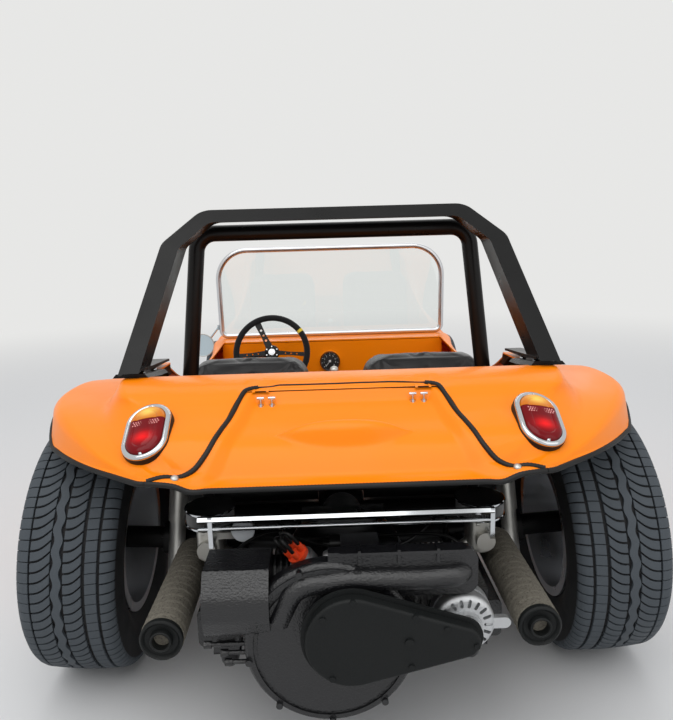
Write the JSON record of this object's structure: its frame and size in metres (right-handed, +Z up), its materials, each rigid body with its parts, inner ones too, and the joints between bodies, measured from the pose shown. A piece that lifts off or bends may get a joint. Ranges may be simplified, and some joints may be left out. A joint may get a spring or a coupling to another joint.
{
  "type": "open two-seat dune buggy",
  "caption": "Open two-seat dune buggy with a moulded fibreglass tub, rear engine under a hinged lid, roll arch, flat windscreen and wide rear tyres.",
  "frame": {"origin": "on the floor under the middle of the vehicle, half way between the axles", "axes": "+Y forward along the vehicle, +X to its right, +Z up"},
  "size_m": [1.6216, 3.2799, 1.2569],
  "materials": {
    "body_gloss": "glossy orange gelcoat",
    "black_vinyl": "satin black vinyl",
    "black_steel": "satin black paint",
    "black_cast": "oily black",
    "bright_alloy": "cast and brushed alloy",
    "chrome": "polished",
    "zinc_steel": "bright zinc",
    "tyre_rubber": "worn tread rubber",
    "clear_glass": "clear",
    "lamp_red": "red lens with an amber top",
    "mirror_face": "polished",
    "wrap": "woven heat wrap",
    "red_plastic": "dull red"
  },
  "bodies": {
    "chassis": {"body_tub": "body_gloss", "dash_panel": "body_gloss", "windscreen_frame": "bright_alloy", "windscreen_glass": "clear_glass", "headlamps": "chrome", "headlamp_lenses": "clear_glass", "tail_lamp_bases": "chrome", "tail_lamp_lenses": "lamp_red", "gauge": "chrome", "mirror": "mirror_face", "roll_tube": "black_steel", "roll_arch": "black_steel", "floor_pan": "black_steel", "front_beam": "black_steel", "steering_column": "black_steel", "seat_left": "black_vinyl", "seat_right": "black_vinyl", "hand_levers": "zinc_steel", "pedals": "black_steel", "front_bumper": "chrome", "transaxle": "bright_alloy", "rear_axle": "black_steel", "shock_absorbers": "zinc_steel", "engine_case": "black_cast", "cylinder_banks": "black_cast", "fan_housing": "black_cast", "belt_cover": "black_cast", "alternator": "bright_alloy", "ignition_leads": "black_steel", "carburettors": "zinc_steel", "air_filters": "chrome", "throttle_bars": "chrome", "distributor": "red_plastic", "silencers": "wrap", "exhaust_headers": "black_cast"},
    "steering_wheel": {"steering_wheel": "black_vinyl"},
    "knuckle_left": {"knuckle_left": "black_cast"},
    "knuckle_right": {"knuckle_right": "black_cast"},
    "track_rod": {"track_rod": "zinc_steel"},
    "drop_arm": {"drop_arm": "black_cast"},
    "engine_lid": {"engine_lid": "body_gloss"},
    "wheel_rear_left": {"tyre_rear_left": "tyre_rubber", "rim_rear_left": "bright_alloy"},
    "wheel_rear_right": {"tyre_rear_right": "tyre_rubber", "rim_rear_right": "bright_alloy"},
    "wheel_front_left": {"tyre_front_left": "tyre_rubber", "rim_front_left": "bright_alloy"},
    "wheel_front_right": {"tyre_front_right": "tyre_rubber", "rim_front_right": "bright_alloy"}
  },
  "joints": [
    {"name": "spin_rear_left", "type": "hinge", "parent": "chassis", "child": "wheel_rear_left", "pos_m": [-0.675, -1.02, 0.34576], "axis": [0.9986, 0, -0.0523], "continuous": true},
    {"name": "spin_rear_right", "type": "hinge", "parent": "chassis", "child": "wheel_rear_right", "pos_m": [0.675, -1.02, 0.34576], "axis": [0.9986, 0, 0.0523], "continuous": true},
    {"name": "steer_left", "type": "hinge", "parent": "chassis", "child": "knuckle_left", "pos_m": [-0.56, 1.02, 0.292], "axis": [0, 0, 1], "range_deg": [-30, 30]},
    {"name": "steer_right", "type": "hinge", "parent": "chassis", "child": "knuckle_right", "pos_m": [0.56, 1.02, 0.292], "axis": [0, 0, 1], "range_deg": [-30, 30]},
    {"name": "rod_pivot", "type": "hinge", "parent": "knuckle_left", "child": "track_rod", "pos_m": [-0.56, 0.91, 0.23], "axis": [0, 0, 1], "range_deg": [-30, 30]},
    {"name": "drop_pivot", "type": "hinge", "parent": "chassis", "child": "drop_arm", "pos_m": [-0.28, 1.02, 0.318], "axis": [0, 0, 1], "range_deg": [-30, 30]},
    {"name": "wheel_turn", "type": "hinge", "parent": "chassis", "child": "steering_wheel", "pos_m": [-0.28, 0.18, 0.656], "axis": [0, -0.9277, 0.3733], "range_deg": [-420, 420]},
    {"name": "spin_front_left", "type": "hinge", "parent": "knuckle_left", "child": "wheel_front_left", "pos_m": [-0.62, 1.02, 0.292], "axis": [1, 0, 0], "continuous": true},
    {"name": "spin_front_right", "type": "hinge", "parent": "knuckle_right", "child": "wheel_front_right", "pos_m": [0.62, 1.02, 0.292], "axis": [1, 0, 0], "continuous": true},
    {"name": "lid_hinge", "type": "hinge", "parent": "chassis", "child": "engine_lid", "pos_m": [0, -1.278, 0.848], "axis": [-1, 0, 0], "range_deg": [0, 75]}
  ],
  "couplings": [
    {"joint": "steer_right", "follows": "steer_left", "ratio": 1},
    {"joint": "rod_pivot", "follows": "steer_left", "ratio": -1},
    {"joint": "drop_pivot", "follows": "steer_left", "ratio": 1},
    {"joint": "wheel_turn", "follows": "steer_left", "ratio": 14}
  ]
}
